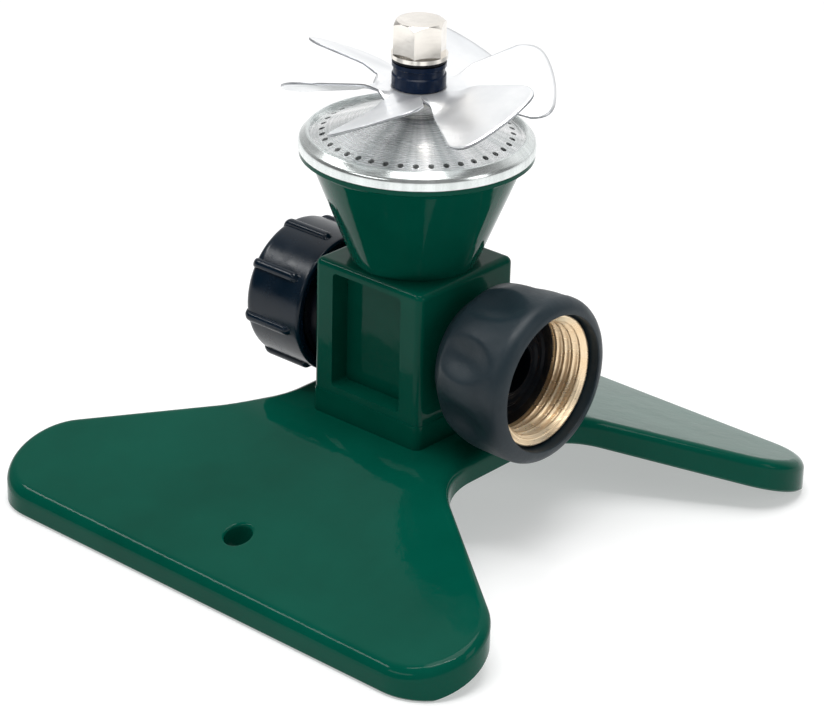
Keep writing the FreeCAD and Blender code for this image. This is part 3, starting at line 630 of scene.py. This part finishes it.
def soft_box(name, place, aim, width, height, radiance):
    """A rectangular area light of a given brightness, aimed at a point."""
    light = bpy.data.lights.new(name, "AREA")
    light.shape = "RECTANGLE"
    light.size = width
    light.size_y = height
    light.energy = radiance * math.pi * width * height
    lamp = bpy.data.objects.new(name, light)
    lamp.location = place
    lamp.rotation_euler = (Vector(aim) - Vector(place)).to_track_quat("-Z", "Y").to_euler()
    bpy.context.scene.collection.objects.link(lamp)


def build_world():
    """White behind the object and dimmer in front and at the left; plain white where it is seen directly."""
    world = bpy.data.worlds.new("studio")
    world.use_nodes = True
    tree = world.node_tree
    make = tree.nodes.new
    lit = tree.nodes["Background"]
    coords = make("ShaderNodeTexCoord").outputs["Generated"]

    def graded(direction, low, high, start, finish):
        """A strength that goes smoothly from start to finish as a ray leans towards a direction."""
        lean = make("ShaderNodeVectorMath")
        lean.operation = "DOT_PRODUCT"
        lean.inputs[1].default_value = direction
        tree.links.new(coords, lean.inputs[0])
        grade = make("ShaderNodeMapRange")
        grade.interpolation_type = "SMOOTHSTEP"
        for socket, value in (("From Min", low), ("From Max", high), ("To Min", start), ("To Max", finish)):
            grade.inputs[socket].default_value = value
        tree.links.new(lean.outputs["Value"], grade.inputs["Value"])
        return grade.outputs["Result"]

    product = make("ShaderNodeMath")
    product.operation = "MULTIPLY"
    tree.links.new(graded((-0.64, 0.74, 0.20), 0.15, 0.60, 0.18, 1.0), product.inputs[0])
    tree.links.new(graded((-0.755, -0.656, 0.0), 0.15, 0.75, 1.0, 0.3), product.inputs[1])
    tree.links.new(product.outputs[0], lit.inputs["Strength"])
    lit.inputs["Color"].default_value = (1, 1, 1, 1)
    plain = make("ShaderNodeBackground")
    plain.inputs["Color"].default_value = (1, 1, 1, 1)
    choose = make("ShaderNodeMixShader")
    tree.links.new(make("ShaderNodeLightPath").outputs["Is Camera Ray"], choose.inputs[0])
    tree.links.new(lit.outputs[0], choose.inputs[1])
    tree.links.new(plain.outputs[0], choose.inputs[2])
    tree.links.new(choose.outputs[0], tree.nodes["World Output"].inputs["Surface"])
    bpy.context.scene.world = world


def build_lights():
    """An overhead box, narrow strips over the left and the front, and boxes in front and at the right."""
    build_world()
    middle = (0, 0, 0.05)
    soft_box("overhead", (0.06, -0.06, 0.8), middle, 0.5, 0.5, 4.8)
    soft_box("rim_strip", (-0.55, -0.38, 0.62), middle, 0.5, 0.07, 12.0)
    soft_box("edge_strip", (0.08, -0.26, 0.84), middle, 0.7, 0.03, 26.0)
    soft_box("front_strip", (-0.10, -0.75, 0.45), middle, 0.5, 0.10, 4.0)
    soft_box("right_box", (0.75, 0.15, 0.35), middle, 0.25, 0.4, 2.5)


def build_camera():
    """Camera above and in front, on the inlet side."""
    azimuth, elevation, roll = (math.radians(a) for a in (40.98, 25.37, 1.43))
    distance, aim_height = 0.6596, 0.3023
    sensor, focal_in_widths = 36, 3.65158
    target = Vector((0, 0, cad_low.z + aim_height * size.z))
    back = Vector((math.sin(azimuth) * math.cos(elevation), -math.cos(azimuth) * math.cos(elevation),
                   math.sin(elevation)))
    right = Vector((math.cos(azimuth), math.sin(azimuth), 0))
    up = back.cross(right)
    turned_right = right * math.cos(roll) + up * math.sin(roll)
    turned_up = up * math.cos(roll) - right * math.sin(roll)
    data = bpy.data.cameras.new("camera")
    data.sensor_fit = "HORIZONTAL"
    data.sensor_width = sensor
    data.lens = sensor * focal_in_widths
    data.clip_start = 0.01
    camera = bpy.data.objects.new("camera", data)
    camera.matrix_world = Matrix.Translation(target + back * distance) @ Matrix(
        (turned_right, turned_up, back)).transposed().to_4x4()
    bpy.context.scene.collection.objects.link(camera)
    bpy.context.scene.camera = camera


bpy.context.scene.view_settings.view_transform = "Standard"
dress_cad_nodes()
build_grip()
build_thread()
build_cap()
build_bezel()
build_rotor()
build_base()
build_seat()
build_stage()
build_lights()
build_camera()
